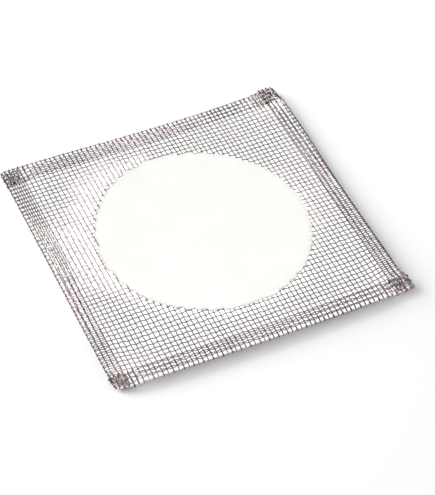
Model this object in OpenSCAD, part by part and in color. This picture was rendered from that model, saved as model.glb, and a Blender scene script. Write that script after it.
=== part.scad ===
// Square wire gauze with a ceramic centre.
// Two sets of wires are woven one over, one under. The cloth is folded under along all four
// edges, sides first, so that each corner is four plies thick, and a ceramic disc is baked into
// the middle. Warps run front to back, along Y, and wefts run left to right, along X.
// +Z is up, and the origin is on the bench under the middle of the gauze.

/* [Cloth] */
// Length of a side of the folded gauze
side_len = 125; // [90:1:170]
// Diameter of the round wire; each wire is drawn square, with the same area
wire_d = 0.4; // [0.3:0.01:0.5]
// Spacing of the warps, before it is fitted to a whole number of meshes
warp_pitch = 1.95; // [1.6:0.05:2.6]
// Spacing of the wefts, before it is fitted to a whole number of meshes
weft_pitch = 2.18; // [1.6:0.05:2.6]
// Gap between two wires where they cross
weave_gap = 0.05; // [0.02:0.01:0.1]
// How far the middle of the back edge sags
back_sag = 1.2; // [0:0.1:1.5]

/* [Hems] */
// Number of warps on each folded side flap
side_flap_wires = 3; // [2:1:6]
// Number of wefts on each folded front or back flap
end_flap_wires = 3; // [2:1:6]
// Meshes from the wire in a side fold to the first warp of the face
face_lead = 0.7; // [0.6:0.05:1]
// Meshes from the wire in a side fold to the first warp of its flap
flap_lead = 1.05; // [0.8:0.05:1.2]
// How far a cut end runs on past the last wire of its flap
cut_end = 0.7; // [0.4:0.1:1]
// Gap between two folded plies
ply_gap = 0.05; // [0.03:0.01:0.2]
// Length over which an end flap rises from under the corner plies to the face
ramp_len = 14; // [12:1:24]

/* [Ceramic] */
// Diameter of the ceramic disc
disc_d = 87; // [60:1:100]
// Thickness of the ceramic disc
disc_t = 1.8; // [1.4:0.1:3]
// Radius of the disc's rounded rim
rim_r = 0.35; // [0.1:0.05:0.6]
// Meshes beyond the rim over which the wires come level to enter the ceramic
rim_lead = 0.75; // [0.7:0.05:1]

/* [Hidden] */

// Section of a wire, and the room that its mitred bends take up
wire_side = wire_d * sqrt(PI) / 2;
bend_side = 1.03 * wire_side;

// Height of a wire above or below the middle of its ply where it crosses another
crimp = (bend_side + weave_gap) / (2 - wire_side / warp_pitch - wire_side / weft_pitch);
// Height from one ply to the next, and height of the face above the bench
ply = 2 * crimp + bend_side + ply_gap;
face_z = 3 * ply + crimp + wire_side / 2 / cos(atan(2 * crimp / warp_pitch));

// Places of the wires in the folds: a side fold turns one ply, an end fold turns up to three
fold_x = side_len / 2 - ply / 2 - wire_side / 2;
fold_y = side_len / 2 - 3 * ply / 2 - wire_side / 2;
end_lead = 1;

// Meshes of the face on each side of the middle, and the spacings that fit them
face_i = round(fold_x / warp_pitch - face_lead);
face_j = round(fold_y / weft_pitch - end_lead);
pitch_x = fold_x / (face_i + face_lead);
pitch_y = fold_y / (face_j + end_lead);
fold_i = face_i + 1;
fold_j = face_j + 1;
last_i = fold_i + side_flap_wires;
last_j = fold_j + end_flap_wires;

// Places of the cut ends, and the stretch where an end flap rises
cut_x = fold_x - (flap_lead + side_flap_wires - 1) * pitch_x - cut_end;
cut_y = fold_y - (end_lead + end_flap_wires - 1) * pitch_y - cut_end;
ramp_x = cut_x - ramp_len;

// Ceramic: its radius, and the radius within which the wires lie level
disc_r = disc_d / 2;
level_r = disc_r + rim_lead * max(pitch_x, pitch_y);
disc_i = floor((disc_r + wire_side / 2) / pitch_x);
disc_j = floor((disc_r + wire_side / 2) / pitch_y);

steel = [0.36, 0.33, 0.32];
hem_steel = [0.44, 0.41, 0.40];
ceramic = [0.97, 0.97, 0.94];

// ---- Where the wires lie ----

// Distance from the middle of warp i or weft j; those past the fold lie on a flap
function warp_x(i) = i <= face_i ? i * pitch_x
                   : i == fold_i ? fold_x
                   : fold_x - (flap_lead + i - fold_i - 1) * pitch_x;
function weft_y(j) = j <= face_j ? j * pitch_y
                   : j == fold_j ? fold_y
                   : fold_y - (end_lead + j - fold_j - 1) * pitch_y;

// 1 where the warp passes over the weft on the cloth's own top side, -1 where it passes under
function over(i, j) = (i + j) % 2 == 0 ? 1 : -1;

// The same on the face, where every warp lies over every weft once both are in the ceramic
function is_level(i, j) = norm([warp_x(i), weft_y(j)]) < level_r;
function face_over(i, j) = is_level(i, j) ? 1 : over(i, j);

// Height of the middle of ply k, counted down from the face
function ply_z(k) = face_z - k * ply;

// Ply that an end flap lies on at x: the fourth under a corner, the second elsewhere
function flap_ply(x) = x >= cut_x ? 3 : x <= ramp_x ? 1 : 1 + 2 * (x - ramp_x) / ramp_len;

// Sag of the cloth at a place: it grows from the disc's rim to the middle of the back edge, and
// the thick corners have none
function sag(x, y) =
    let (rho = norm([x, y]),
         out = (rho - level_r) / (fold_y - level_r),
         side = 1 - pow(min(1, abs(x) / cut_x), 3))
    y <= 0 || out <= 0 ? 0 : -back_sag * pow(min(1, out), 1.5) * pow(y / rho, 2) * side;

// ---- Shape of one wire ----

// Corners of half a turn of radius r about c, from above c (turn = 1) or below it (turn = -1)
function half_turn(c, r, turn) =
    let (sides = r > ply ? 5 : 3, step = 180 / (sides + 1), reach = r / cos(step / 2))
    [for (k = [0:sides]) let (a = turn * (90 - (k + 0.5) * step)) c + reach * [cos(a), sin(a)]];

// Middle of a fold's turn: around the wire in the fold, or just inside that wire
function turn_at(fold, r, outside) = outside ? fold : fold - r - wire_side - weave_gap / 2;

// Distance from the middle at which a wire that runs level through the ceramic starts to bend
function level_end(across, last) =
    max(sqrt(max(0, pow(disc_r, 2) - pow(max(0, abs(across) - wire_side / 2), 2))) + wire_side / 8,
        last + wire_side / 2);

// Half of a line, mirrored into a whole one
function both_ways(half) =
    concat([for (k = [len(half) - 1:-1:0]) [-half[k][0], half[k][1]]],
           [for (q = half) if (q[0] > 0) q]);

// Corner k of a line, moved sideways by h along the mitre of the bend there
function unit(v) = v / norm(v);
function left_of(v) = [-v[1], v[0]];
function mitred(line, k, h) =
    let (a = unit(k > 0 ? line[k] - line[k - 1] : line[1] - line[0]),
         b = k < len(line) - 1 ? unit(line[k + 1] - line[k]) : a,
         m = unit(left_of(a + b)))
    line[k] + m * h / (m * left_of(a));

// A wire of square section that follows a line of [distance, height] corners
module wire(line) {
    h = wire_side / 2;
    linear_extrude(height = wire_side, center = true)
        polygon(concat([for (k = [0:len(line) - 1]) mitred(line, k, h)],
                       [for (k = [len(line) - 1:-1:0]) mitred(line, k, -h)]));
}

// ---- Lines of the wires, from the middle outwards ----

// Weft j at y: its run across a ply, its turn at the side fold, and its end on the side flap.
// Its height over a ply's middle is side * crimp, and side changes at each fold.
function weft_level(j, y) =
    let (inside = [for (i = [0:face_i]) if (is_level(i, j)) warp_x(i)])
    len(inside) == 0 ? [] : [[level_end(y, max(inside)), face_z - crimp]];
function face_weft(j, y) =
    concat(weft_level(j, y),
           [for (i = [0:face_i]) if (!is_level(i, j))
               [warp_x(i), face_z + sag(warp_x(i), y) - crimp * over(i, j)]],
           weft_end(j, y, 0, 1, 1));
function flap_weft(j, y) =
    concat([for (i = [0:face_i])
               [warp_x(i), ply_z(flap_ply(warp_x(i))) + sag(warp_x(i), y) + crimp * over(i, j)]],
           weft_end(j, y, 3, 2, -1));
function weft_end(j, y, from, to, turn) =
    let (r = ply / 2, c = turn_at(fold_x, r, over(fold_i, j) < 0))
    concat(half_turn([c, ply_z((from + to) / 2)], r, turn),
           [for (i = [fold_i + 1:last_i])
               [warp_x(i), ply_z(to) + sag(warp_x(i), y) + turn * crimp * over(i, j)]],
           [[cut_x, ply_z(to) + sag(cut_x, y)]]);
function fold_weft(j, y) =
    let (c = turn_at(fold_x, ply / 2, over(fold_i, j) < 0))
    concat([for (i = [0:face_i]) [warp_x(i), ply_z(0.5) + sag(warp_x(i), y)]],
           half_turn([c, ply_z(1)], ply / 2, 1),
           [[cut_x, ply_z(1.5) + sag(cut_x, y)]]);

// Warp i at x, along Y, in the same way; y_sign is 1 for its back half and -1 for its front half
function warp_level(i, x) =
    let (inside = [for (j = [0:face_j]) if (is_level(i, j)) weft_y(j)])
    len(inside) == 0 ? [] : [[level_end(x, max(inside)), face_z + crimp]];
function face_warp(i, x, y_sign) =
    concat(warp_level(i, x),
           [for (j = [0:face_j]) if (!is_level(i, j))
               [weft_y(j), face_z + sag(x, y_sign * weft_y(j)) + crimp * over(i, j)]],
           warp_end(i, x, y_sign, 0, flap_ply(x), -1));
function flap_warp(i, x, y_sign) =
    concat([for (j = [0:face_j])
               [weft_y(j), ply_z(1) + sag(x, y_sign * weft_y(j)) - crimp * over(i, j)]],
           warp_end(i, x, y_sign, 1, 2, 1));
function warp_end(i, x, y_sign, from, to, side) =
    let (r = (to - from) * ply / 2, c = turn_at(fold_y, r, over(i, fold_j) > 0))
    concat(half_turn([c, ply_z((from + to) / 2) + sag(x, y_sign * fold_y)], r, 1),
           [for (j = [fold_j + 1:last_j])
               [weft_y(j), ply_z(to) + sag(x, y_sign * weft_y(j)) + side * crimp * over(i, j)]],
           [[cut_y, ply_z(to) + sag(x, y_sign * cut_y)]]);
function fold_warp(i, x) =
    let (c = turn_at(fold_y, ply, over(i, fold_j) > 0))
    concat([[0, ply_z(0.5)]], half_turn([c, ply_z(1.5)], ply, 1), [[cut_y, ply_z(2.5)]]);

// The two halves of a warp joined into one line; the front half is the mirrored one
function front_to_back(front, back) =
    concat([for (k = [len(front) - 1:-1:0]) [-front[k][0], front[k][1]]],
           [for (q = back) if (q[0] > 0) q]);

// ---- Pieces ----

// Weft j, at the back for y_sign = 1 and at the front for y_sign = -1
module weft(j, y_sign) {
    y = y_sign * weft_y(j);
    line = j <= face_j ? face_weft(j, y) : j == fold_j ? fold_weft(j, y) : flap_weft(j, y);
    translate([0, y, 0]) rotate([90, 0, 0]) wire(both_ways(line));
}

// Warp i, on the right for x_sign = 1 and on the left for x_sign = -1
module warp(i, x_sign) {
    x = warp_x(i);
    front = i <= face_i ? face_warp(i, x, -1) : i == fold_i ? fold_warp(i, x) : flap_warp(i, x, -1);
    back = i <= face_i ? face_warp(i, x, 1) : i == fold_i ? fold_warp(i, x) : flap_warp(i, x, 1);
    translate([x_sign * x, 0, 0]) rotate([90, 0, 90]) wire(front_to_back(front, back));
}

module left_hem_warps() {
    color(hem_steel) for (i = [fold_i:last_i]) warp(i, -1);
}

module left_warps() {
    color(steel) for (i = [disc_i + 1:face_i]) warp(i, -1);
}

module disc_warps() {
    color(steel) for (i = [-disc_i:disc_i]) warp(abs(i), sign(i));
}

module right_warps() {
    color(steel) for (i = [disc_i + 1:face_i]) warp(i, 1);
}

module right_hem_warps() {
    color(hem_steel) for (i = [fold_i:last_i]) warp(i, 1);
}

module front_hem_wefts() {
    color(hem_steel) for (j = [fold_j:last_j]) weft(j, -1);
}

module front_wefts() {
    color(steel) for (j = [disc_j + 1:face_j]) weft(j, -1);
}

module disc_wefts() {
    color(steel) for (j = [-disc_j:disc_j]) weft(abs(j), sign(j));
}

module back_wefts() {
    color(steel) for (j = [disc_j + 1:face_j]) weft(j, 1);
}

module back_hem_wefts() {
    color(hem_steel) for (j = [fold_j:last_j]) weft(j, 1);
}

// The ceramic, with a channel for each wire that runs through it
module ceramic_disc() {
    color(ceramic) difference() {
        rotate_extrude($fn = 180) disc_profile();
        for (i = [-disc_i:disc_i]) translate([i * pitch_x, 0, face_z + crimp])
            cube([wire_side, disc_d + 2, wire_side], center = true);
        for (j = [-disc_j:disc_j]) translate([0, j * pitch_y, face_z - crimp])
            cube([disc_d + 2, wire_side, wire_side], center = true);
    }
}

// Half section of the disc, with a rounded rim
module disc_profile() {
    translate([0, face_z - disc_t / 2]) square([disc_r - rim_r, disc_t]);
    translate([0, face_z - disc_t / 2 + rim_r]) square([disc_r, disc_t - 2 * rim_r]);
    for (z = [rim_r, disc_t - rim_r])
        translate([disc_r - rim_r, face_z - disc_t / 2 + z]) circle(r = rim_r, $fn = 48);
}

left_hem_warps();
left_warps();
disc_warps();
right_warps();
right_hem_warps();
front_hem_wefts();
front_wefts();
disc_wefts();
back_wefts();
back_hem_wefts();
ceramic_disc();
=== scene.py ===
"""Looks of a square wire gauze with a ceramic centre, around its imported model.

The gauze is woven from round steel wire: warps run front to back along Y, wefts run left to right
along X. The cloth is folded under along all four edges, and a ceramic disc is pressed into its
middle. Sizes in this file are in millimetres, and become metres when a mesh is made.
"""

import logging
import math
from dataclasses import dataclass, field
from enum import Enum

import bpy
import numpy as np
from bpy.types import Collection, Material, Node, NodeSocket, NodeTree, Object
from mathutils import Matrix, Vector


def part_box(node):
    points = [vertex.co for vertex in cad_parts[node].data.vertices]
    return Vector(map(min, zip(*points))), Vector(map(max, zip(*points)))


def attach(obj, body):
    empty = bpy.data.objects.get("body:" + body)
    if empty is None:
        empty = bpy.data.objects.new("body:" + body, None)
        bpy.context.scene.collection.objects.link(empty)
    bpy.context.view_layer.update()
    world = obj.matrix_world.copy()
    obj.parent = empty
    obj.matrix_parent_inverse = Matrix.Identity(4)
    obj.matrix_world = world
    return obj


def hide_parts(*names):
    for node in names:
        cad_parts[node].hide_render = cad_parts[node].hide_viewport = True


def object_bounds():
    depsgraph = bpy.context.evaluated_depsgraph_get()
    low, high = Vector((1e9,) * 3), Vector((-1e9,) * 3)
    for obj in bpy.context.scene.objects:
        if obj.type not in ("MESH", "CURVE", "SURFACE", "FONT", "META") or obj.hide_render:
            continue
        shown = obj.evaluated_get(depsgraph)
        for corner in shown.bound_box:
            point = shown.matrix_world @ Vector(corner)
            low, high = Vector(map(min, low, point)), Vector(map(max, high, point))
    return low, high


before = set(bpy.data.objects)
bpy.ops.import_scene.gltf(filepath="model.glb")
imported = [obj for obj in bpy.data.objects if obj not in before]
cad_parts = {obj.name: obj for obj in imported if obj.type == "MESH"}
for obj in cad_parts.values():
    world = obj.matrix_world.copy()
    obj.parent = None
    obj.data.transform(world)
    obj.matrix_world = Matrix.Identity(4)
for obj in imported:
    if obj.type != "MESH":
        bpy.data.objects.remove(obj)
cad_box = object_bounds()

MM = 0.001
SEED = 41
TINY = 1e-6
LOG = logging.getLogger("wire_gauze")

Array = np.ndarray
Pair = tuple[float, float]
Triple = tuple[float, float, float]  # a colour, a direction or three settings


class Run(Enum):
    """Which way a wire runs in the cloth."""

    WARP = "warp"
    WEFT = "weft"


# ---- Arithmetic on whole arrays ----


def ramp(x: Array, start: float, end: float) -> Array:
    """Rises smoothly from 0 at the start to 1 at the end, by 3t^2 - 2t^3 of the share t.

    Args:
        x: Places.
        start: Where the value leaves 0.
        end: Where it reaches 1; it may lie on either side.

    Returns:
        Values of the same shape.
    """
    t = np.clip((x - start) / (end - start), 0.0, 1.0)
    return t * t * (3.0 - 2.0 * t)


def between(ends: Pair, share: Array) -> Array:
    """Returns the numbers that lie at the given shares of the way between two."""
    return ends[0] + (ends[1] - ends[0]) * share


def smooth_noise(rng: np.random.Generator, shape: tuple[int, ...], spread: tuple[float, ...]) -> Array:
    """Random numbers blurred by a Gaussian on each axis, through the Fourier transform.

    Args:
        rng: The seeded source.
        shape: Size of the array.
        spread: Standard deviation of the blur on each axis, in cells.

    Returns:
        An array with mean 0 and standard deviation 1, which wraps round at its ends.
    """
    spectrum = np.fft.fftn(rng.standard_normal(shape))
    for axis, (size, width) in enumerate(zip(shape, spread)):
        fall = np.exp(-2.0 * (math.pi * np.fft.fftfreq(size) * width) ** 2)
        spectrum *= fall.reshape([-1 if a == axis else 1 for a in range(len(shape))])
    blurred = np.real(np.fft.ifftn(spectrum))
    return (blurred - blurred.mean()) / blurred.std()


def along(rows: Array, t: Array, first: int) -> Array:
    """Reads each row of a table at the places t, by the Catmull-Rom cubic through its entries.

    Args:
        rows: Table of shape (wires, entries).
        t: Places of shape (wires, samples), counted as the entries are.
        first: Number of the first entry.

    Returns:
        Values of shape (wires, samples).
    """
    last = rows.shape[1] - 1
    k = np.clip(np.floor(t - first).astype(int), 0, last - 1)
    f = t - first - k
    wire = np.arange(len(rows))[:, None]
    p0, p1, p2, p3 = (rows[wire, np.clip(k + step, 0, last)] for step in (-1, 0, 1, 2))
    bend = 2 * p0 - 5 * p1 + 4 * p2 - p3 + f * (3 * (p1 - p2) + p3 - p0)
    return p1 + 0.5 * f * (p2 - p0 + f * bend)


def unit(v: Array) -> Array:
    """Returns the vectors of an array scaled to length 1."""
    return v / np.maximum(np.linalg.norm(v, axis=-1, keepdims=True), 1e-12)


# ---- Meshes ----


def mesh_object(
    name: str, points: Array, faces: tuple[Array, ...], smooth: tuple[bool, ...], uv: Array
) -> Object:
    """Makes a mesh object from whole arrays, at the origin, in metres.

    Args:
        name: Name of the object and its mesh.
        points: Vertices of shape (n, 3), in millimetres.
        faces: Vertex numbers, an array for each kind of face and a row for each face.
        smooth: Whether each kind is shaded smooth.
        uv: UV place of every face corner.

    Returns:
        The new object, linked to the scene.
    """
    counts = [len(rows) for rows in faces]
    sizes = np.repeat([rows.shape[1] for rows in faces], counts)
    corners = np.concatenate([rows.ravel() for rows in faces])
    mesh = bpy.data.meshes.new(name)
    mesh.vertices.add(len(points))
    mesh.vertices.foreach_set("co", (points * MM).astype(np.float32).ravel())
    mesh.loops.add(len(corners))
    mesh.loops.foreach_set("vertex_index", corners.astype(np.int32))
    mesh.polygons.add(len(sizes))
    mesh.polygons.foreach_set("loop_start", (np.cumsum(sizes) - sizes).astype(np.int32))
    mesh.polygons.foreach_set("use_smooth", np.repeat(smooth, counts))
    mesh.update(calc_edges=True)
    mesh.uv_layers.new(name="UVMap").data.foreach_set("uv", uv.astype(np.float32).ravel())
    mesh.validate()
    made = bpy.data.objects.new(name, mesh)
    bpy.context.scene.collection.objects.link(made)
    return made


def ring_quads(rings: Array, around: int) -> Array:
    """Returns the corners of the quads between each ring in a list and the one that follows it."""
    turn = (np.arange(around)[:, None] + [0, 1, 1, 0]) % around
    return ((rings[:, None, None] + [0, 0, 1, 1]) * around + turn).reshape(-1, 4)


@dataclass(frozen=True)
class TubeShape:
    """Section of a round wire."""

    radius: float
    sides: int = 8

    def build(
        self, name: str, line: Array, upward: Array, keep: Array, values: dict[str, Array]
    ) -> Object:
        """Carries the circle along many lines at once and closes both ends of each wire.

        A ring's corners are line + radius * (cos a * N + sin a * B). N is the upward direction
        made square to the line, and B is the line's direction crossed with N.

        Args:
            name: Name of the piece.
            line: Middle lines of shape (wires, samples, 3).
            upward: Directions off the cloth, of the same shape.
            keep: Samples that get a ring, of shape (wires, samples).
            values: Numbers at each sample, kept as attributes, by their names.

        Returns:
            The new object.
        """
        ahead = unit(np.gradient(line, axis=1))
        normal = unit(upward - ahead * np.sum(upward * ahead, axis=-1, keepdims=True))
        side = np.cross(ahead, normal)
        step = np.linalg.norm(np.diff(line, axis=1), axis=-1)
        length = np.concatenate([np.zeros((len(line), 1)), np.cumsum(step, axis=1)], axis=1)

        wire, sample = np.nonzero(keep)
        s = np.arange(self.sides)
        angle = 2 * math.pi * s / self.sides
        circle = np.cos(angle)[None, :, None] * normal[wire, sample][:, None]
        circle = circle + np.sin(angle)[None, :, None] * side[wire, sample][:, None]
        points = (line[wire, sample][:, None] + self.radius * circle).reshape(-1, 3)

        joined = wire[:-1] == wire[1:]
        first, final = np.nonzero(joined)[0], np.nonzero(~joined)[0]
        u = (s[:, None] + [0, 1, 1, 0]) / self.sides
        v = length[wire, sample][first[:, None, None] + [0, 0, 1, 1]]
        uv = np.stack(np.broadcast_arrays(u, v), axis=-1).reshape(-1, 2)
        cap_rings = (np.insert(final + 1, 0, 0), np.append(final, len(wire) - 1))
        caps = [ring[:, None] * self.sides + way for ring, way in zip(cap_rings, (s[::-1], s))]
        cap_uv = np.tile(0.5 + 0.1 * np.stack([np.cos(angle), np.sin(angle)], axis=-1), (2 * len(line), 1))
        faces = (ring_quads(first, self.sides), np.concatenate(caps))
        made = mesh_object(name, points, faces, (True, False), np.concatenate([uv, cap_uv]))
        for title, value in values.items():
            kept = made.data.attributes.new(title, "FLOAT", "POINT")
            kept.data.foreach_set("value", np.repeat(value[wire, sample], self.sides).astype(np.float32))
        return made


# ---- The cloth ----


@dataclass(frozen=True)
class ClothSizes:
    """Sizes of the folded cloth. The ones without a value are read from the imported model's boxes."""

    half: float  # half the side
    face_z: float  # height of the face's middle
    disc_r: float
    disc_t: float
    pitch_x: float  # from warp to warp
    pitch_y: float  # from weft to weft
    wire_r: float = 0.2
    warp_crimp: float = 0.17  # how far a warp swings to each side of the cloth's middle
    weft_crimp: float = 0.235
    ply: float = 0.9166  # from one ply's middle to the next
    face_i: int = 31  # count of the last warp on the face
    face_j: int = 27  # count of the last weft on the face
    flap_warps: tuple[float, ...] = (59.815, 57.864, 55.912)  # where a side flap's warps lie
    flap_wefts: int = 3  # wefts on an end flap, at even pitches
    cut_x: float = 55.21  # where a side flap ends
    ramp_x: float = 48.5  # where the end folds start to widen for it

    @classmethod
    def from_frame(cls) -> "ClothSizes":
        """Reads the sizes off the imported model's boxes.

        The outermost face wires give each pitch: their box ends half a wire's section outside
        the middle of the last one.

        Returns:
            The sizes.
        """
        disc_low, disc_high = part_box("ceramic_disc")
        half_section = cls.packed_section() / 2
        return cls(
            half=cad_box[1].x / MM,
            face_z=(disc_low.z + disc_high.z) / 2 / MM,
            disc_r=(disc_high.x - disc_low.x) / 2 / MM,
            disc_t=(disc_high.z - disc_low.z) / MM,
            pitch_x=(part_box("right_warps")[1].x / MM - half_section) / cls.face_i,
            pitch_y=(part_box("back_wefts")[1].y / MM - half_section) / cls.face_j,
        )

    @classmethod
    def packed_section(cls) -> float:
        """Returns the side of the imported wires' square section, which has the round one's area."""
        return math.sqrt(math.pi) * cls.wire_r


@dataclass(frozen=True)
class Wear:
    """How far the cloth is out of true. Its edges' moves are outwards, if not said otherwise."""

    wander: float = 0.11  # slow bends of each wire
    drift: float = 0.08  # bends that neighbours share
    jitter: float = 0.03  # each crossing by itself
    tangle: float = 0.3  # the same, at the corners
    sag: float = 1.2  # the back edge, downwards between its corners
    sag_from: float = 1.6  # where that starts, past the disc's rim
    back: float = 1.2
    back_askew: float = 1.1  # more at the right end, less at the left
    back_belly: float = 0.03  # for each millimetre left of the middle
    back_corner: float = 1.5  # the far corner
    front: float = 1.7
    front_corners: Pair = (1.2, 1.5)  # inwards, at the left and the right corner
    left: float = 0.6
    right: float = 0.45
    crush: Pair = (1.1, 0.1)  # the right fold inwards, at the front and at the back
    ear: float = 0.6  # the right corner
    tip: float = 0.9  # the near and far corners' tips, inwards
    edge: float = 61.0  # where the edges' moves are full
    bulge: Pair = (-8.0, 75.0)  # middle and reach of the front edge's bulge


@dataclass(frozen=True)
class FlapSlides:
    """How far each flap has slid on the face above it, as it was folded a little askew.

    The pairs give the slide towards the front and towards the back.
    """

    left_x: Pair = (0.34, -0.25)
    right_x: Pair = (0.75, 0.2)
    right_spread: float = 0.35  # more at the back end of the right flap
    right_edge: float = 0.65  # the face's last warp, towards the fold at the front
    sides_y: Pair = (-0.3, 0.75)
    ends_x: float = 0.36
    back_y: float = -0.76  # on the right half of the back flap
    tucks: Pair = (0.9, 0.6)  # how much narrower the end flaps are at the corners


@dataclass(frozen=True)
class Tones:
    """How light the steel is: the wires' range, and the painted light on the flaps and on the hems."""

    wires: Pair
    # painted light: the change on the flaps, which lie in the shade of the face above
    flap: float
    # the share of the painted gleam and shade on the hems
    hem: float


# The flap and hem entries set painted light and shade; only the wires' range is the steel's own tone.
TONES_AND_PAINTED_LIGHT = {
    Run.WARP: Tones(wires=(-0.3, 0.5), flap=-0.3, hem=1.0),
    Run.WEFT: Tones(wires=(0.4, 1.3), flap=1.5, hem=-0.9),
}


@dataclass
class Cloth:
    """The woven cloth, folded under along its four edges.

    A place on the cloth is given by two counts: a along X, whole at each warp, and b along Y,
    whole at each weft. A height n is measured off the cloth's middle, upwards on the face.
    The rim is the ceramic's radius at even angles, once round.
    """

    sizes: ClothSizes
    rim: Array
    seed: int = SEED
    rings: int = 6
    turn_rings: int = 10
    cut_ends: Pair = (0.22, 0.5)
    bends: Pair = (0.8, 8.0)  # blur of the wander across the wires and along them, in crossings
    shared_bends: Pair = (7.0, 7.0)
    tangled: tuple[Pair, Pair] = ((26.0, 31.0), (22.0, 27.0))  # counts where the corners start
    tucked: Pair = (26.0, 30.0)
    sunk: float = 3.0  # how deep inside the rim the wires keep all their rings
    lift: float = 0.02  # step off the cloth that tells which way is up
    pasted: Pair = (-0.1, -0.9)  # places past the rim where the paste starts and is full
    painted_flap_light_depth: Pair = (0.3, 0.5)  # how deep under the face the flaps' painted light starts, and its ramp
    rim_dark: Triple = (1.6, 0.4, 0.9)  # dark bell outside the ceramic: size, place and width
    wear: Wear = field(default_factory=Wear)
    slides: FlapSlides = field(default_factory=FlapSlides)

    def __post_init__(self) -> None:
        """Works out the places of the folds and the small shifts of every crossing."""
        z, w = self.sizes, self.wear
        self.section = TubeShape(z.wire_r)
        self.side_r = z.ply / 2
        self.side_start = z.half - self.side_r - z.weft_crimp - z.wire_r
        self.side_turn = math.pi * self.side_r
        self.end_start = z.half - 1.5 * z.ply - z.weft_crimp - z.wire_r
        self.last_i = z.face_i + 1 + len(z.flap_warps)
        self.last_j = z.face_j + 1 + z.flap_wefts
        mid_turn, back = self.side_start + self.side_turn / 2, 2 * self.side_start + self.side_turn
        self.a_counts = np.array([0, *range(z.face_i, self.last_i + 1)], float)
        self.a_places = np.array([0.0, z.face_i * z.pitch_x, mid_turn, *(back - x for x in z.flap_warps)])
        rng = np.random.default_rng(self.seed)
        grid = (2 * self.last_i + 1, 2 * self.last_j + 1)
        self.shift_x, self.shift_y = (
            w.wander * smooth_noise(rng, grid, bends) + w.drift * smooth_noise(rng, grid, self.shared_bends)
            for bends in (self.bends, self.bends[::-1])
        )
        i, j = np.arange(-self.last_i, self.last_i + 1), np.arange(-self.last_j, self.last_j + 1)
        corner = ramp(np.abs(i), *self.tangled[0])[:, None] * ramp(np.abs(j), *self.tangled[1])
        for size in (w.jitter, w.tangle * corner):
            self.shift_x += size * rng.standard_normal(grid)
            self.shift_y += size * rng.standard_normal(grid)
        self.slide_flaps()

    def slide_flaps(self) -> None:
        """Slides each flap along the face above it.

        The left flap's warps lie under those of the face at the front and between them at the back,
        and the right flap's the other way round. The wefts of both lie further back in the back
        half. The right edge's two outermost warps lie close together at the front.
        """
        f = self.slides
        side, end = self.sizes.face_i + 2, self.sizes.face_j + 2
        rightward = np.linspace(-1.0, 1.0, 2 * self.last_i + 1)
        backward = np.linspace(-1.0, 1.0, 2 * self.last_j + 1)
        left, right = slice(0, self.last_i - side + 1), slice(self.last_i + side, None)
        front, back = slice(0, self.last_j - end + 1), slice(self.last_j + end, None)
        self.shift_x[left] += between(f.left_x, ramp(backward, -0.15, 0.15))
        far_x = f.right_x[1] + f.right_spread * backward
        self.shift_x[right] += between((f.right_x[0], far_x), ramp(backward, -0.02, 0.28))
        self.shift_x[self.last_i + side - 2] += f.right_edge * ramp(backward, 0.2, -0.1)
        for flap, turn, start in ((left, self.last_i - side + 1, -0.3), (right, self.last_i + side - 1, 0.0)):
            slide = between(f.sides_y, ramp(backward, start, start + 0.45))
            self.shift_y[flap] += slide
            self.shift_y[turn] += slide / 2
        self.shift_x[:, front] += f.ends_x
        self.shift_x[:, back] += f.ends_x
        self.shift_y[:, back] += f.back_y * ramp(rightward, 0.0, 1.0 / 3.0)[:, None]
        tuck = ramp(np.abs(rightward) * self.last_i, *self.tucked)[:, None]
        self.shift_y[:, front] += f.tucks[0] * tuck
        self.shift_y[:, back] -= f.tucks[1] * tuck

    def across(self, a: Array) -> Array:
        """Distance along the cloth from its middle to count a: straight between known warps."""
        return np.sign(a) * np.interp(np.abs(a), self.a_counts, self.a_places)

    def end_plies(self, x: Array) -> Array:
        """Plies that an end fold goes round: 3 at a corner, 1 elsewhere, and a smooth ramp."""
        return 1.0 + 2.0 * ramp(np.abs(x), self.sizes.ramp_x, self.sizes.cut_x)

    def lengthwise(self, b: Array, turn: Array) -> Array:
        """Distance along the cloth from its middle to count b.

        Pitches are even up to the last weft of the face and again on the flap. Between them two
        counts lead into the turn, round it and out.

        Args:
            b: Counts along Y.
            turn: Length of the end fold's turn there.

        Returns:
            Distances with the sign of b.
        """
        z = self.sizes
        size = np.abs(b)
        face = z.face_j * z.pitch_y
        lead = self.end_start - face + turn / 2
        out = np.clip(size - z.face_j, 0.0, 2.0) * lead + np.maximum(size - z.face_j - 2, 0.0) * z.pitch_y
        return np.sign(b) * (np.minimum(size, z.face_j) * z.pitch_y + out)

    def settled(self, x: Array, y: Array, z: Array) -> Array:
        """Bends the folded cloth as it lies: its back edge sags, and its edges are out of square.

        The sag grows from the disc's rim to the back edge by the power 1.5 of the distance. The
        edges move as Wear says. Each move fades out along a ramp towards the middle, and the right
        fold isn't crushed at its front corner.

        Args:
            x: Places across the cloth.
            y: Places from front to back.
            z: Heights off the face.

        Returns:
            Points of shape (..., 3), with heights above the bench.
        """
        s, w = self.sizes, self.wear
        rho = np.maximum(np.hypot(x, y), TINY)
        rim, edge = s.disc_r + w.sag_from, w.edge
        out = np.clip((rho - rim) / (edge - rim), 0.0, 1.0) ** 1.5
        middle = 1.0 - np.minimum(1.0, np.abs(x) / s.cut_x) ** 3
        drop = w.sag * out * (y / rho) ** 2 * middle * (y > 0)

        belly = w.back_belly * x * np.maximum(0.0, 1.0 - (x / edge) ** 2)
        back = (w.back + w.back_askew * x / s.half - belly) * ramp(y, 20.0, 60.0)
        back += w.back_corner * ramp(x, 51.0, 58.0) * ramp(y, 50.0, 58.0)

        corners = w.front_corners[0] * ramp(x, -46.0, -58.0) + w.front_corners[1] * ramp(x, 46.0, 58.0)
        bulge = w.front * (1.0 - ((x - w.bulge[0]) / w.bulge[1]) ** 2)
        front = (corners - bulge) * ramp(y, -25.0, -50.0)

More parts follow.
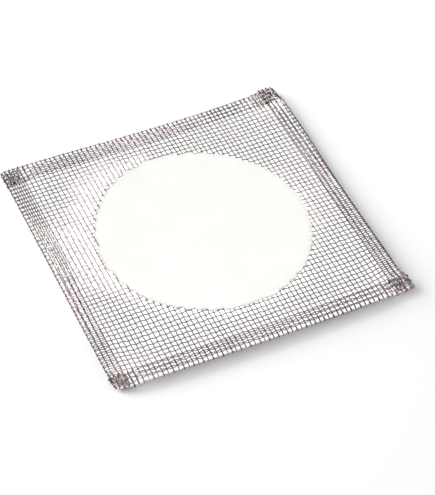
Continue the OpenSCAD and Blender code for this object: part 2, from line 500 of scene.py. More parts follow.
        left = w.left * ramp(x, -30.0, -50.0)
        crush = between(w.crush, ramp(y, -5.0, 45.0)) * ramp(x, 59.8, 62.6)
        ear = ramp(y, -52.0, -57.0) * ramp(x, 50.0, 58.0)
        right = w.right * ramp(x, 35.0, 55.0) - crush * (1.0 - ear) + w.ear * ear

        tip = w.tip * ramp(np.abs(x), 54.0, 62.0) * ramp(np.abs(y), 54.0, 62.0) * (x * y > 0)
        moved_x = x + right - left - tip * np.sign(x)
        moved_y = y + back + front - tip * np.sign(y)
        return np.stack([moved_x, moved_y, s.face_z + z - drop], axis=-1)

    def points(self, a: Array, b: Array, n: Array, dx: Array, dy: Array) -> Array:
        """Folds places of the flat cloth under, the sides first and then the ends.

        In a fold of radius r, a place at the angle t round the turn lies at (r + n) sin t beyond
        the turn's start and at (r + n) cos t - r off the face. Past the turn it runs back.

        Args:
            a: Counts along X.
            b: Counts along Y.
            n: Heights off the cloth's middle.
            dx: Shifts in X along the cloth.
            dy: Shifts in Y.

        Returns:
            Points of shape (..., 3).
        """
        u = self.across(a) + dx
        past = np.abs(u) - self.side_start
        angle = np.clip(past, 0.0, self.side_turn) / self.side_r
        reach = np.minimum(np.abs(u), self.side_start) - np.maximum(past - self.side_turn, 0.0)
        x = np.sign(u) * (reach + (self.side_r + n) * np.sin(angle))
        height = (self.side_r + n) * np.cos(angle) - self.side_r

        r = self.sizes.ply * self.end_plies(x) / 2
        turn = math.pi * r
        v = self.lengthwise(b, turn) + dy
        past = np.abs(v) - self.end_start
        angle = np.clip(past, 0.0, turn) / r
        reach = np.minimum(np.abs(v), self.end_start) - np.maximum(past - turn, 0.0)
        y = np.sign(v) * (reach + (r + height) * np.sin(angle))
        return self.settled(x, y, (r + height) * np.cos(angle) - r)

    def counts(self, face: int, last: int, ends: Array) -> Array:
        """Counts of the samples along wires that cross the whole cloth.

        Args:
            face: Last count on the face; the turn is in the next two.
            last: Last crossing on the flap.
            ends: How far each wire's two ends run on past it, of shape (wires, 2).

        Returns:
            Counts of shape (wires, samples), rising along each wire.
        """
        half = np.concatenate(
            [
                np.arange(0, face * self.rings) / self.rings,
                face + np.arange(0, 2 * self.turn_rings) / self.turn_rings,
                face + 2 + np.arange(0, (last - face - 2) * self.rings + 1) / self.rings,
            ]
        )
        core = np.broadcast_to(np.concatenate([-half[:0:-1], half]), (len(ends), 2 * len(half) - 1))
        part = np.array([0.5, 1.0])
        return np.concatenate([-last - ends[:, :1] * part[::-1], core, last + ends[:, 1:] * part], axis=1)

    def heights(self, run: Run, own: Array, t: Array) -> Array:
        """Heights of wires off the cloth's middle.

        A warp's height is crimp * (-1)^i * cos(pi b) and a weft's has the other sign, so each
        passes over and under the wires that it meets. By a bell, the warps' crimp grows to the
        wefts' where they turn round the outermost weft, which is straighter.

        Args:
            run: Whether these are warps or wefts.
            own: Each wire's own count.
            t: Counts along each wire.

        Returns:
            Heights of the same shape as t.
        """
        z = self.sizes
        outermost = z.face_j + 1
        if run is Run.WARP:
            bell = np.exp(-2.0 * (np.abs(t) - outermost) ** 2)
            crimp = between((z.warp_crimp, z.weft_crimp), bell)
        else:
            crimp = -np.where(np.abs(own) == outermost, z.warp_crimp, z.weft_crimp)
        return crimp * (1.0 - 2.0 * (np.abs(own) % 2)) * np.cos(math.pi * t)

    def tone(self, run: Run, own: Array, line: Array, past_rim: Array) -> Array:
        """How light the steel is along wires: each wire's own tone, and what its place adds.

        On the flaps the steel is painted: the wefts lighter, painted light in the shade of the face above
        them that also stands for their gleam, and the warps a little darker. The hems' warps are lighter on
        the right hem's near half and darker on the far half of both, and the wefts change the other way:
        a painted gleam and painted shade. Just outside the ceramic, all are darker by a bell.

        Args:
            run: Whether these are warps or wefts.
            own: Each wire's own tone, of shape (wires, 1).
            line: Middle lines of shape (wires, samples, 3).
            past_rim: Distance of each sample outside the ceramic's rim.

        Returns:
            Tones, with their painted light and shade, of shape (wires, samples).
        """
        z, tones_and_light = self.sizes, TONES_AND_PAINTED_LIGHT[run]
        x, y, height = np.moveaxis(line, -1, 0)
        # The flaps' painted light, full where they lie deep enough under the face.
        depth, over = self.painted_flap_light_depth
        under = np.clip((z.face_z - depth - height) / over, 0.0, 1.0) * (np.hypot(x, y) > z.disc_r)
        # Painted gleam and shade on the hems: the near part of the right hem and the far parts of both.
        near = ramp(x, 50.0, 55.0) * ramp(y, 5.0, -10.0)
        far = 0.9 * ramp(np.abs(x), 52.0, 56.0) * ramp(y, 2.0, 14.0)
        size, place, width = self.rim_dark
        bell = size * np.exp(-(((past_rim - place) / width) ** 2))
        return own + tones_and_light.flap * under + tones_and_light.hem * (near - far) - bell

    def wires(self, run: Run, numbers: list[int], name: str) -> Object:
        """Makes a group of warps or of wefts as one mesh of separate wires.

        Inside the ceramic a wire has a ring at each crossing only. The attribute "paste" is 1
        where the ceramic's paste covers it, and "tone" says how light its steel is, with painted light
        and shade on the flaps and hems.

        Args:
            run: Whether these are warps or wefts.
            numbers: Counts of the wires, from the middle outwards.
            name: Name of the piece.

        Returns:
            The new object.
        """
        z, warps = self.sizes, run is Run.WARP
        crossed = ((z.face_i, self.last_i, self.last_j), (z.face_j, self.last_j, self.last_i))
        face, last, rows = crossed[warps]
        rng = np.random.default_rng([self.seed, warps, numbers[0] + 100])
        t = self.counts(face, last, rng.uniform(*self.cut_ends, (len(numbers), 2)))
        shifts = (shift if warps else shift.T for shift in (self.shift_x, self.shift_y))
        dx, dy = (along(shift[np.array(numbers) + rows], t, -last) for shift in shifts)
        own = np.broadcast_to(np.array(numbers, float)[:, None], t.shape)
        a, b = (own, t) if warps else (t, own)
        n = self.heights(run, own, t)
        line = self.points(a, b, n, dx, dy)
        upward = self.points(a, b, n + self.lift, dx, dy) - line

        radius = np.hypot(line[..., 0], line[..., 1])
        keep = (radius > z.disc_r - self.sunk) | (np.abs(t - np.round(t)) < TINY)
        turn = np.arctan2(line[..., 1], line[..., 0]) % (2 * math.pi) / (2 * math.pi)
        rim = np.interp(turn, np.arange(len(self.rim) + 1) / len(self.rim), np.append(self.rim, self.rim[0]))
        values = {
            "tone": self.tone(run, rng.uniform(*TONES_AND_PAINTED_LIGHT[run].wires, (len(numbers), 1)), line, radius - rim),
            "paste": ramp(radius - rim, *self.pasted),
        }
        return self.section.build(name, line, upward, keep, values)


# ---- The ceramic ----


@dataclass
class CeramicDisc:
    """The ceramic that is pressed into the cloth: a thin disc with a soft, stepped rim.

    Each lobe of the outline has an order, a size and the angle that it points at, in degrees.
    """

    sizes: ClothSizes
    seed: int = SEED + 1
    around: int = 600
    edge: float = 2.2  # depth of the rounded rim
    rim_steps: int = 14
    inner_rings: int = 36
    outer_rings: int = 12
    outer_from: float = 0.86  # share of the flat's radius where the close rings start
    mean_r: float = 43.15
    lobes: tuple[tuple[int, float, float], ...] = (
        (1, 0.60, -80.0), (2, 0.90, -64.0), (3, 0.20, -30.0), (4, 0.18, 21.0),
    )
    past_wire: float = 0.3  # how far the paste reaches over the wire that it stops at
    pull_limit: float = 0.75
    pull_share: float = 0.75
    crossings: int = 25  # how many wires of a kind a ray may meet
    pull_blur: float = 0.9
    ripple: float = 0.08
    prints: Pair = (0.006, 0.020)  # height of the wires' prints in the middle and at the rim
    prints_grow: Pair = (30.0, 43.0)  # radii between which they grow
    swell: float = 0.02
    swell_full: float = 20.0  # radius where the swell is full

    def outline(self) -> Array:
        """Radius of the rim at each angle.

        Each lobe adds size * cos(order * (angle - its angle)). The paste stops at the wires, so
        the outline is drawn part of the way to just past the nearest place where a ray from the
        middle meets a warp or a weft, and is then blurred.

        Returns:
            Radii of shape (around,).
        """
        z = self.sizes
        angle = 2 * math.pi * np.arange(self.around) / self.around
        k = np.arange(1, self.crossings + 1)
        ways = ((z.pitch_x, np.cos(angle)), (z.pitch_y, np.sin(angle)))
        with np.errstate(divide="ignore"):
            meets = np.concatenate([k * pitch / np.abs(way)[:, None] for pitch, way in ways], axis=1)
        lobes = sum(size * np.cos(order * (angle - math.radians(at))) for order, size, at in self.lobes)
        oval = self.mean_r + lobes
        nearest = meets[np.arange(self.around), np.argmin(np.abs(meets - oval[:, None]), axis=1)]
        pull = np.clip(nearest + self.past_wire - oval, -self.pull_limit, self.pull_limit) * self.pull_share
        blur = np.exp(-0.5 * (np.fft.fftfreq(self.around) * self.around / self.pull_blur) ** 2)
        pull = np.real(np.fft.ifft(np.fft.fft(pull) * np.fft.fft(blur / blur.sum())))
        rng = np.random.default_rng(self.seed)
        return oval + pull + self.ripple * smooth_noise(rng, (self.around,), (4.0,))

    def relief(self, x: Array, y: Array) -> Array:
        """Height of the mesh showing through the paste: two cosines, one per set of wires.

        Args:
            x: Places across, in millimetres.
            y: Places from front to back.

        Returns:
            Heights, larger towards the rim where the paste is thin.
        """
        z = self.sizes
        wave = np.cos(2 * math.pi * x / z.pitch_x) + np.cos(2 * math.pi * y / z.pitch_y)
        return wave * between(self.prints, ramp(np.hypot(x, y), *self.prints_grow))

    def build(self, name: str) -> Object:
        """Makes the closed disc: a polar grid on each face and a half ellipse round the rim.

        Args:
            name: Name of the piece.

        Returns:
            The new object.
        """
        z = self.sizes
        angle = 2 * math.pi * np.arange(self.around) / self.around
        flat = self.outline() - self.edge
        inner = self.outer_from * np.arange(1, self.inner_rings + 1) / (self.inner_rings + 1)
        outer = between((self.outer_from, 1.0), np.arange(self.outer_rings + 1) / self.outer_rings)
        share = np.concatenate([inner, outer])
        turn = math.pi * np.arange(1, self.rim_steps) / self.rim_steps
        rounded = flat + self.edge * np.sin(turn)[:, None]
        radii = np.concatenate([share[:, None] * flat, rounded, share[::-1, None] * flat])
        half = z.disc_t / 2
        level = np.concatenate([np.full(len(share), half), half * np.cos(turn), np.full(len(share), -half)])
        level = level[:, None]
        x, y = radii * np.cos(angle), radii * np.sin(angle)
        rng = np.random.default_rng(self.seed + 1)
        noise = smooth_noise(rng, radii.shape, (3.0, 12.0))
        swell = self.swell * noise * np.minimum(1.0, radii / self.swell_full)
        height = level + np.sign(level) * (self.relief(x, y) + swell) * np.abs(level / half) ** 2
        points = np.stack([x, y, height + z.face_z], axis=-1).reshape(-1, 3)
        middle = np.array([[0.0, 0.0, z.face_z + half], [0.0, 0.0, z.face_z - half]])
        points = np.concatenate([points, middle])

        rows, s = len(radii), np.arange(self.around)
        after, base = (s + 1) % self.around, (rows - 1) * self.around
        top = np.full_like(s, rows * self.around)
        fans = [np.stack(sides, axis=-1) for sides in ((top, s, after), (top + 1, base + after, base + s))]
        faces = (ring_quads(np.arange(rows - 1), self.around)[:, [0, 3, 2, 1]], np.concatenate(fans))
        uv = np.concatenate([points[kind, :2].reshape(-1, 2) for kind in faces]) / (2 * z.disc_r) + 0.5
        return mesh_object(name, points, faces, (True, True), uv)


# ---- Finishes ----


class Graph:
    """Nodes being wired in one tree. In the editor they stand in columns, in the order made."""

    per_column = 5
    step = (240.0, -340.0)

    def __init__(self, tree: NodeTree) -> None:
        """Takes the tree that gets the nodes."""
        self.tree = tree

    def add(self, kind: str, inputs: dict[str | int, object] | None = None, **values: object) -> Node:
        """Adds a node, sets its properties and feeds its inputs.

        Args:
            kind: Node type.
            inputs: Numbers, colours or sockets, by the input's name or number.
            values: Properties by name.

        Returns:
            The new node.
        """
        place = divmod(len(self.tree.nodes), self.per_column)
        node = self.tree.nodes.new(kind)
        node.location = (place[0] * self.step[0], place[1] * self.step[1])
        for key, value in values.items():
            setattr(node, key, value)
        self.feed(node, inputs or {})
        return node

    def feed(self, node: Node, inputs: dict[str | int, object]) -> None:
        """Gives inputs of a node their values: a socket is linked, and anything else is set.

        Args:
            node: The node.
            inputs: Values by the input's name or number.
        """
        for key, value in inputs.items():
            if isinstance(value, NodeSocket):
                self.tree.links.new(value, node.inputs[key])
            else:
                node.inputs[key].default_value = value

    def math(self, operation: str, first: object, second: object = 0.0, clamp: bool = False) -> NodeSocket:
        """Returns the output of a new Math node whose inputs are numbers or sockets."""
        node = self.add("ShaderNodeMath", {0: first, 1: second}, operation=operation, use_clamp=clamp)
        return node.outputs[0]

    def mixed(self, factor: NodeSocket, first: object, second: object) -> NodeSocket:
        """Returns the mix of two colours or sockets, by a factor that varies over the surface."""
        ends = (end if isinstance(end, NodeSocket) else (*end, 1.0) for end in (first, second))
        return self.add("ShaderNodeMix", dict(zip((0, 6, 7), (factor, *ends))), data_type="RGBA").outputs[2]

    def ranged(self, value: NodeSocket, given: tuple, wanted: Pair, kind: str = "SMOOTHSTEP") -> NodeSocket:
        """Returns a value that is mapped from the given range, held there, to the wanted one."""
        inputs = dict(zip(("Value", "From Min", "From Max", "To Min", "To Max"), (value, *given, *wanted)))
        return self.add("ShaderNodeMapRange", inputs, interpolation_type=kind).outputs["Result"]


class Effects:
    """The shader node groups of the finishes, each built once."""

    def __init__(self) -> None:
        """Builds the groups."""
        self.mottle = self._mottle()
        self.wash = self._wash()

    @staticmethod
    def _group(
        name: str, inputs: dict[str, float | None], outputs: tuple[str, ...]
    ) -> tuple[Graph, object, Node]:
        """Makes an empty shader node group. Its sockets named Vector or Normal are vectors.

        Args:
            name: Name of the group.
            inputs: Default value of each input, or None for a vector.
            outputs: Names of the outputs.

        Returns:
            Its graph, what it is given, by name, and its output node.
        """
        tree = bpy.data.node_groups.new(name, "ShaderNodeTree")
        for direction, titles in (("INPUT", inputs), ("OUTPUT", outputs)):
            for title in titles:
                kind = "NodeSocketVector" if title in ("Vector", "Normal") else "NodeSocketFloat"
                socket = tree.interface.new_socket(title, in_out=direction, socket_type=kind)
                if direction == "INPUT" and inputs[title] is not None:
                    socket.default_value = inputs[title]
        graph = Graph(tree)
        return graph, graph.add("NodeGroupInput").outputs, graph.add("NodeGroupOutput")

    def _mottle(self) -> NodeTree:
        """Builds the group that gives patchy and fine variation and a bumped normal.

        Returns:
            A group with inputs Vector, Patch Scale, Grain Scale and Bump, and outputs Patch,
            Grain (both 0 to 1) and Normal.
        """
        inputs = {"Vector": None, "Patch Scale": 100.0, "Grain Scale": 1000.0, "Bump": 0.1}
        graph, given, sink = self._group("mottle", inputs, ("Patch", "Grain", "Normal"))
        found = []
        for scale, limits in (("Patch Scale", (0.35, 0.65)), ("Grain Scale", (0.3, 0.7))):
            sockets = {"Vector": given["Vector"], "Scale": given[scale], "Detail": 3.0}
            noise = graph.add("ShaderNodeTexNoise", sockets).outputs["Fac"]
            found.append(graph.ranged(noise, limits, (0.0, 1.0)))
        sockets = {"Distance": 0.02 * MM, "Strength": given["Bump"], "Height": found[1]}
        normal = graph.add("ShaderNodeBump", sockets).outputs["Normal"]
        graph.feed(sink, {"Patch": found[0], "Grain": found[1], "Normal": normal})
        return graph.tree

    def _wash(self) -> NodeTree:
        """Builds the group that masks a band from one radius to another around the Z axis.

        Returns:
            A group with inputs Vector, Inner, Outer and Ragged (metres), and the output Mask,
            which is 1 inside the inner radius and 0 outside the outer one.
        """
        inputs = {"Vector": None, "Inner": 0.043, "Outer": 0.045, "Ragged": 0.0005}
        graph, given, sink = self._group("wash", inputs, ("Mask",))
        split = graph.add("ShaderNodeSeparateXYZ", {0: given["Vector"]}).outputs
        squares = (graph.math("MULTIPLY", split[k], split[k]) for k in (0, 1))
        radius = graph.math("SQRT", graph.math("ADD", *squares))
        noise = graph.add("ShaderNodeTexNoise", {"Scale": 700.0, "Vector": given["Vector"]}).outputs["Fac"]
        shift = graph.math("MULTIPLY", graph.math("SUBTRACT", noise, 0.5), given["Ragged"])
        band = graph.ranged(graph.math("ADD", radius, shift), (given["Inner"], given["Outer"]), (1.0, 0.0))
        graph.feed(sink, {"Mask": band})
        return graph.tree

    def material(self, name: str, *mottle: float) -> tuple[Material, Graph, Node, NodeSocket, object]:
        """Makes a material that holds a Principled BSDF, Object coordinates and the mottle.

        Args:
            name: Name of the material.
            mottle: Patch Scale, Grain Scale and Bump of its mottle.

        Returns:
            The material, its graph, Principled node, coordinates and what the mottle gives.
        """
        made = bpy.data.materials.new(name)
        made.use_nodes = True
        graph = Graph(made.node_tree)
        graph.tree.nodes.clear()
        shader = graph.add("ShaderNodeBsdfPrincipled")
        graph.add("ShaderNodeOutputMaterial", {"Surface": shader.outputs["BSDF"]})
        place = graph.add("ShaderNodeTexCoord").outputs["Object"]
        inputs = dict(zip(("Vector", "Patch Scale", "Grain Scale", "Bump"), (place, *mottle)))
        return made, graph, shader, place, graph.add("ShaderNodeGroup", inputs, node_tree=self.mottle).outputs


@dataclass(frozen=True)
class WireFinish:
    """Drawn steel wire that has dulled brown-grey, with pale paste on it at the disc's rim."""

    name: str = "dulled_steel_wire"
    dark: Triple = (0.040, 0.031, 0.028)
    light: Triple = (0.21, 0.172, 0.168)
    paste: Triple = (0.80, 0.79, 0.765)
    roughness: Pair = (0.48, 0.58)
    metallic: float = 1.0
    shares: Triple = (0.4, 0.3, 0.35)  # of the tone (own tone with painted light and shade), the patches and the grain
    mottle: Triple = (160.0, 900.0, 0.5)  # patch scale, grain scale and bump

    def material(self, effects: Effects) -> Material:
        """Builds the material. The attribute "tone" lightens the steel; "paste" covers it.

        Args:
            effects: The shared node groups.

        Returns:
            The material.
        """
        made, graph, shader, _, mottle = effects.material(self.name, *self.mottle)
        # tone holds the wires' own tone and the painted light and shade of the flaps and hems
        kept = (graph.add("ShaderNodeAttribute", attribute_name=title) for title in ("tone", "paste"))
        tone, paste = (node.outputs["Fac"] for node in kept)
        parts = zip((tone, mottle["Patch"], mottle["Grain"]), self.shares)
        own, patch, fleck = (graph.math("MULTIPLY", part, share) for part, share in parts)
        shade = graph.math("ADD", graph.math("ADD", own, patch), fleck, clamp=True)
        steel = graph.mixed(shade, self.dark, self.light)
        inputs = {
            "Base Color": graph.mixed(paste, steel, self.paste),
            "Metallic": graph.ranged(paste, (0.0, 1.0), (self.metallic, 0.0), "LINEAR"),
            "Roughness": graph.ranged(mottle["Grain"], (0.0, 1.0), self.roughness, "LINEAR"),
            "Normal": mottle["Normal"],
        }
        graph.feed(shader, inputs)
        return made


@dataclass(frozen=True)
class CeramicFinish:
    """Matt off-white ceramic with a fine grain, and faint grey marks over the wires at its rim."""

    name: str = "matt_white_ceramic"
    body: Triple = (0.90, 0.90, 0.875)
    patchy: Triple = (0.88, 0.88, 0.85)
    mark: Triple = (0.82, 0.815, 0.795)
    roughness: float = 0.82
    band: Pair = (3.2, 0.6)  # where the marks start and are full, in from the rim
    ragged: float = 2.5
    line: Pair = (0.02, 0.16)  # where a mark starts to fade and has gone, in pitches
    mottle: Triple = (70.0, 2200.0, 0.6)  # patch scale, grain scale and bump

    def material(self, effects: Effects, sizes: ClothSizes) -> Material:
        """Builds the material.

        The marks are drawn where the distance to the nearest warp or weft, found from the
        fraction of a pitch, is small, and only in a band inside the rim.

        Args:
            effects: The shared node groups.
            sizes: Sizes of the cloth.

        Returns:
            The material.
        """
        made, graph, shader, place, mottle = effects.material(self.name, *self.mottle)
        inner, outer = ((sizes.disc_r - depth) * MM for depth in self.band)
        inputs = {"Vector": place, "Inner": inner, "Outer": outer, "Ragged": self.ragged * MM}
        core = graph.add("ShaderNodeGroup", inputs, node_tree=effects.wash).outputs["Mask"]
        split = graph.add("ShaderNodeSeparateXYZ", {0: place}).outputs
        pitches = (sizes.pitch_x, sizes.pitch_y)
        counts = (graph.math("DIVIDE", split[k], pitch * MM) for k, pitch in enumerate(pitches))
        nearest = graph.math("MINIMUM", *(graph.math("PINGPONG", count, 0.5) for count in counts))
        stripe = graph.ranged(nearest, self.line, (1.0, 0.0))
        faint = graph.math("MULTIPLY", graph.math("SUBTRACT", 1.0, core), mottle["Patch"])
        clay = graph.mixed(mottle["Patch"], self.body, self.patchy)
        colour = graph.mixed(graph.math("MULTIPLY", stripe, faint), clay, self.mark)
        graph.feed(shader, {"Base Color": colour, "Roughness": self.roughness, "Normal": mottle["Normal"]})
        return made


@dataclass(frozen=True)
class BenchFinish:
    """Plain pale bench with the faintest unevenness in its colour."""

    name: str = "pale_bench"
    first: Triple = (0.88, 0.88, 0.88)
    second: Triple = (0.86, 0.86, 0.86)
    roughness: float = 0.95
    specular: float = 0.1
    mottle: Triple = (3.0, 60.0, 0.0)  # patch scale, grain scale and bump

    def material(self, effects: Effects) -> Material:
        """Builds the material.

        Args:
            effects: The shared node groups.

        Returns:
            The material.
        """
        made, graph, shader, _, mottle = effects.material(self.name, *self.mottle)
        colour = graph.mixed(mottle["Patch"], self.first, self.second)
        inputs = {"Base Color": colour, "Roughness": self.roughness, "Specular IOR Level": self.specular}
        graph.feed(shader, inputs)
        return made


# ---- Assemblies ----


@dataclass
class Gauze:
    """The whole gauze: ten groups of wires and the disc, each in the place of its CAD node."""

    sizes: ClothSizes
    effects: Effects

    def __post_init__(self) -> None:
        """Makes the cloth and the finishes that the pieces share."""
        self.disc = CeramicDisc(self.sizes)
        self.cloth = Cloth(self.sizes, self.disc.outline())
        self.steel = WireFinish().material(self.effects)

    def groups(self) -> list[tuple[str, Run, list[int]]]:
        """Lists the CAD nodes of wires, each from the middle of the cloth outwards.

        Returns:
            Each node's name, the kind of its wires and their counts.
        """
        z, c = self.sizes, self.cloth
        found = []
        for run, face, last, pitch, low, high in (
            (Run.WARP, z.face_i, c.last_i, z.pitch_x, "left", "right"),
            (Run.WEFT, z.face_j, c.last_j, z.pitch_y, "front", "back"),
        ):
            disc = int((z.disc_r + z.packed_section() / 2) / pitch)
            outwards, hem = list(range(disc + 1, face + 1)), list(range(face + 1, last + 1))
            found += [
                (f"{low}_hem_{run.value}s", run, [-k for k in hem]),
                (f"{low}_{run.value}s", run, [-k for k in outwards]),
                (f"disc_{run.value}s", run, list(range(-disc, disc + 1))),
                (f"{high}_{run.value}s", run, outwards),
                (f"{high}_hem_{run.value}s", run, hem),
            ]
        return found

    def build(self) -> tuple[list[Object], Object]:
        """Builds, dresses and places every piece, and reports each one.

        Returns:
            The pieces of wire, and the disc.
        """
        wires = []
        for node, run, numbers in self.groups():
            piece = self.cloth.wires(run, numbers, f"{node}_woven")
            piece.data.materials.append(self.steel)
            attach(piece, "root")
            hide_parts(node)
            self.report(piece)
            wires.append(piece)
        disc = self.disc.build("ceramic_disc_pressed")
        disc.data.materials.append(CeramicFinish().material(self.effects, self.sizes))
        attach(disc, "root")
        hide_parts("ceramic_disc")
        self.report(disc)
        return wires, disc

    @staticmethod
    def report(piece: Object) -> None:
        """Logs a piece's name and its number of triangles."""
        LOG.info("%s: %d triangles", piece.name, len(piece.data.loops) - 2 * len(piece.data.polygons))


@dataclass(frozen=True)
class Softbox:
    """A rectangular soft light that faces the gauze. Lengths are in metres."""

    name: str
    toward: Pair  # direction to it along the bench
    height: float  # its elevation, in degrees
    away: float
    size: Pair
    power: float  # in watts


@dataclass(frozen=True)
class Patch:
    """An oval patch of the cloth that gleams: all its wires, or only the warps or the wefts."""

    name: str
    middle: Pair
    half: Pair  # its half axes
    turned: float  # from the X axis, in degrees
    power: float  # in watts
    only: Run | None = None


@dataclass
class Studio:
    """Bench, lights and camera. Lengths here are in metres."""

    effects: Effects
    face_z: float
    azimuth: float = -25.3
    elevation: float = 47.3
    distance: float = 0.732
    roll: float = 1.2
    target: Pair = (0.0012, -0.0121)
    lens: float = 134.76
    world_strength: float = 0.36
    bench_reach: float = 50.0  # how many times larger the bench is than the gauze
    outline: tuple[Pair, ...] = (
        (-0.0616, -0.0602), (0.0, -0.0606), (0.0622, -0.0597), (0.0622, -0.005),
        (0.0634, 0.045), (0.0634, 0.0640), (-0.0616, 0.0640),
    )
    bench_lamps: tuple[Softbox, ...] = (
        Softbox("low_key", (-0.66, 0.75), 20.0, 1.2, (1.0, 1.0), 34.0),
        Softbox("side_key", (-1.0, -0.15), 15.0, 1.2, (0.7, 0.5), 5.6),
        Softbox("counter", (1.0, -0.35), 26.0, 1.2, (0.8, 0.8), 5.4),
    )
    under_fill: Softbox = Softbox("under_fill", (0.0, 1.0), 80.0, 1.5, (1.0, 1.0), 27.0)
    overhead: Softbox = Softbox("overhead", (0.29, -0.25), 67.0, 1.0, (0.4, 0.9), 7.0)
    disc_light: Softbox = Softbox("disc_light", (-0.3, -0.5), 80.0, 1.0, (0.8, 0.8), 9.2)
    patches: tuple[Patch, ...] = (
        Patch("whole", (-0.0180, 0.0020), (0.083, 0.083), 0.0, 52.0),
        Patch("crescent", (-0.0221, 0.0117), (0.040, 0.033), 62.0, 330.0),
        Patch("crescent_wefts", (-0.0221, 0.0117), (0.040, 0.033), 62.0, 310.0, Run.WEFT),
        Patch("far_side", (0.0260, -0.0020), (0.0245, 0.026), -5.0, 310.0),
        Patch("left_hem_wefts", (-0.0596, -0.0020), (0.038, 0.0055), 90.0, 400.0, Run.WEFT),
        Patch("right_hem_wefts", (0.0590, 0.0200), (0.030, 0.0055), 90.0, 190.0, Run.WEFT),
        Patch("right_hem", (0.0590, -0.0200), (0.034, 0.0055), 90.0, 80.0),
        Patch("back_hem", (0.0, 0.0585), (0.032, 0.0040), 0.0, 240.0),
        Patch("front_hem", (0.0, -0.0600), (0.058, 0.0045), 0.0, 90.0),
        Patch("left_corner", (-0.0590, 0.0600), (0.007, 0.006), 0.0, 110.0),
        Patch("far_corner", (0.0570, 0.0590), (0.009, 0.008), 0.0, 330.0),
        Patch("right_corner", (0.0590, -0.0580), (0.008, 0.008), 0.0, 160.0),
        Patch("near_corner", (-0.0570, -0.0590), (0.008, 0.008), 0.0, 220.0),
    )
    gleam_away: float = 1.5
    gleam_radius: float = 0.004
    gleam_colour: Triple = (1.0, 0.97, 1.04)
    gleam_blend: float = 0.2
    gleam_from: tuple[tuple[str, Triple], ...] = (
        ("left", (-0.12, -0.62, 0.78)), ("right", (0.64, -0.47, 0.61)),
    )

    def __post_init__(self) -> None:
        """Makes the finish that both parts of the bench share."""
        self.bench_finish = BenchFinish().material(self.effects)

    def build(self, wires: list[Object], disc: Object) -> None:
        """Sets up the bench, the lights and the camera.

        Args:
            wires: The pieces of wire.
            disc: The ceramic.
        """
        outer, inner = self.bench("bench_around"), self.bench("bench_under", under=True)
        self.world()
        for box in self.bench_lamps:
            self.lamp(box, [outer], [*wires, disc])
        self.lamp(self.under_fill, [inner], [inner])
        self.lamp(self.overhead, wires, [disc])
        for patch in self.patches:
            self.gleam(patch, wires, disc)
        self.lamp(self.disc_light, [disc], [disc])
        self.camera()
        bpy.context.scene.view_settings.view_transform = "Standard"

    def bench(self, name: str, under: bool = False) -> Object:
        """Lays one part of the bench, either under the gauze or all round it.

        The two share a plane and a finish, and each has lights of its own. The outer part
        reaches from the outline to the same outline many times as large.

        Args:
            name: Name of the part.
            under: Whether it is the one under the gauze.

        Returns:
            The part.
        """
        middle, around = ([(s * x, s * y, 0.0) for x, y in self.outline] for s in (1.0, self.bench_reach))
        size = len(middle)
        ring = [(size + k, size + (k + 1) % size, (k + 1) % size, k) for k in range(size)]
        mesh = bpy.data.meshes.new(name)
        mesh.from_pydata(middle if under else middle + around, [], [tuple(range(size))] if under else ring)
        part = bpy.data.objects.new(name, mesh)
        bpy.context.scene.collection.objects.link(part)
        mesh.materials.append(self.bench_finish)
        return part

    def world(self) -> None:
        """Lights the scene evenly from all round."""
        world = bpy.data.worlds.new("studio")
        world.use_nodes = True
        back = world.node_tree.nodes["Background"]
        back.inputs["Color"].default_value = (1.0, 1.0, 1.0, 1.0)
        back.inputs["Strength"].default_value = self.world_strength
        bpy.context.scene.world = world

    @staticmethod
    def group_of(name: str, members: list[Object]) -> Collection:
        """Makes a collection, outside the scene's own, that a light is linked to.

        Args:
            name: Name of the collection.
            members: Objects in it.

        Returns:
            The collection.
        """
        made = bpy.data.collections.new(name)
        for member in members:
            made.objects.link(member)
        return made

    def lamp(self, box: Softbox, lit: list[Object], shading: list[Object]) -> None:
        """Adds a soft light.

        Args:
            box: The light.
            lit: What it lights.
            shading: What casts its shadows.
        """
        rise = math.radians(box.height)
        flat = Vector((*box.toward, 0.0)).normalized() * math.cos(rise)
        direction = Vector((flat.x, flat.y, math.sin(rise)))
        data = bpy.data.lights.new(box.name, "AREA")
        data.shape = "RECTANGLE"
        data.energy, data.size, data.size_y = box.power, *box.size
        lamp = bpy.data.objects.new(box.name, data)
        turn = direction.to_track_quat("Z", "Y").to_matrix().to_4x4()
        lamp.matrix_world = Matrix.Translation(direction * box.away) @ turn
        bpy.context.scene.collection.objects.link(lamp)
        lamp.light_linking.receiver_collection = self.group_of(f"{box.name}_lights", lit)
        lamp.light_linking.blocker_collection = self.group_of(f"{box.name}_shadows", shading)

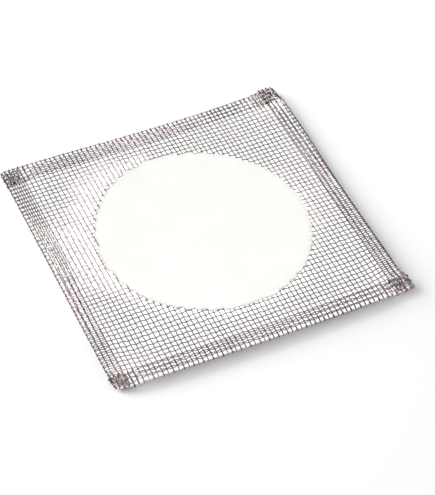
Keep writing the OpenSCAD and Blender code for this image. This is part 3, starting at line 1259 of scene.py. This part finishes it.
    def gleam(self, patch: Patch, wires: list[Object], disc: Object) -> None:
        """Adds a pair of narrow lights that make an oval patch of the cloth gleam.

        A scaled spot lamp has an oval cone. The two stand where the rising and the falling parts
        of the wefts throw light back to the camera, and the warps do not. The oval's axes come
        from the singular values of the patch's half axes, projected along the light's direction.

        Args:
            patch: The patch.
            wires: The pieces of wire.
            disc: The ceramic, which alone shades the lights for one kind of wire.
        """
        a = math.radians(patch.turned)
        axes = np.array([[math.cos(a), math.sin(a), 0.0], [-math.sin(a), math.cos(a), 0.0]])
        axes *= np.array(patch.half)[:, None]
        part = patch.only.value if patch.only else ""
        lit = self.group_of(f"{patch.name}_lights", [wire for wire in wires if part in wire.name])
        shading = self.group_of(f"{patch.name}_shadows", [disc]) if patch.only else None
        for side, toward in self.gleam_from:
            toward = unit(np.array(toward))
            _, size, rows = np.linalg.svd(axes - (axes @ toward)[:, None] * toward)
            turn = Matrix((rows[0], np.cross(toward, rows[0]), toward)).transposed().to_4x4()
            oval = Matrix.Diagonal((1.0, size[1] / size[0], 1.0, 1.0))
            data = bpy.data.lights.new(f"{patch.name}_{side}", "SPOT")
            data.energy, data.color = patch.power, self.gleam_colour
            data.shadow_soft_size, data.spot_blend = self.gleam_radius, self.gleam_blend
            data.spot_size = 2 * math.atan(size[0] / self.gleam_away)
            lamp = bpy.data.objects.new(data.name, data)
            place = Vector((*patch.middle, self.face_z)) + Vector(toward) * self.gleam_away
            lamp.matrix_world = Matrix.Translation(place) @ turn @ oval
            bpy.context.scene.collection.objects.link(lamp)
            lamp.light_linking.receiver_collection = lit
            lamp.light_linking.blocker_collection = shading

    def camera(self) -> None:
        """Places the camera on its sphere round the target, turned a little about its axis."""
        a, e, r = (math.radians(v) for v in (self.azimuth, self.elevation, self.roll))
        turns = ((a, "Z"), (math.pi / 2 - e, "X"), (r, "Z"))
        turn, tilt, roll = (Matrix.Rotation(angle, 4, axis) for angle, axis in turns)
        data = bpy.data.cameras.new("camera")
        data.lens = self.lens
        camera = bpy.data.objects.new("camera", data)
        middle = Matrix.Translation((*self.target, self.face_z))
        back = Matrix.Translation((0.0, 0.0, self.distance))
        camera.matrix_world = middle @ turn @ tilt @ roll @ back
        bpy.context.scene.collection.objects.link(camera)
        bpy.context.scene.camera = camera


def main() -> None:
    """Builds the gauze and the studio."""
    logging.basicConfig(level=logging.INFO, format="%(message)s")
    sizes = ClothSizes.from_frame()
    LOG.info("pitches %.4f and %.4f mm", sizes.pitch_x, sizes.pitch_y)
    effects = Effects()
    wires, disc = Gauze(sizes, effects).build()
    Studio(effects, sizes.face_z * MM).build(wires, disc)


if __name__ == "__main__":
    main()
